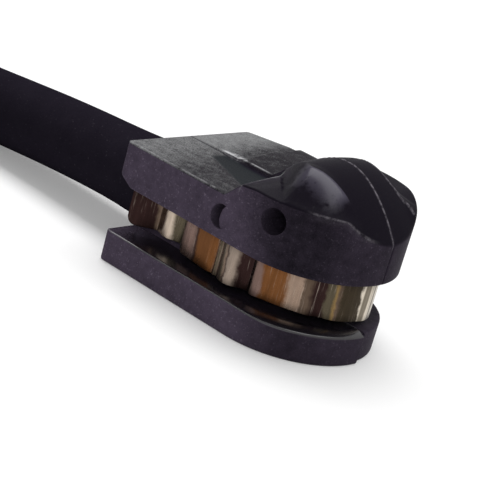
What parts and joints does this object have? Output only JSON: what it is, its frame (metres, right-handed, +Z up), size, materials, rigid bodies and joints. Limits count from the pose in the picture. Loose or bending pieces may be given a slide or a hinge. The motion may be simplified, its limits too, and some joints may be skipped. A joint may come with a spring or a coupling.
{
  "type": "brake pad wear sensor",
  "caption": "Small moulded sensor head with a humped nose and a side groove holding a wavy metal strip, on a coiled two-core lead that ends in a plug.",
  "frame": {"origin": "centre of the underside of the sensor head's foot", "axes": "+X towards the head's rounded nose, away from the lead, +Z up from the foot to the hump"},
  "size_m": [0.0903, 0.0696, 0.0133],
  "materials": {
    "moulded_plastic": "fine grain, glossy where polished",
    "cable_sheath": "smooth satin",
    "spring_bronze": "rolled, tarnished",
    "tinned_copper": "tinned",
    "bare_copper": "drawn",
    "core_brown": "satin",
    "core_grey": "satin",
    "plug_plastic": "fine texture",
    "seal_rubber": "matt",
    "lock_plastic": "satin"
  },
  "bodies": {
    "root": {"sensor_body": "moulded_plastic", "retaining_spring": "spring_bronze", "head_core_near": "core_brown", "head_core_far": "core_grey", "crimp_sleeve_near": "tinned_copper", "crimp_sleeve_far": "tinned_copper", "contact_loop": "bare_copper", "cable": "cable_sheath", "cable_coil": "cable_sheath", "cable_tail": "cable_sheath", "coil_tie": "plug_plastic", "plug_housing": "plug_plastic", "plug_rear_cap": "plug_plastic", "cable_seal": "seal_rubber", "terminal_lock": "lock_plastic", "terminal_near": "tinned_copper", "terminal_far": "tinned_copper", "plug_core_near": "core_brown", "plug_core_far": "core_grey"}
  },
  "joints": []
}
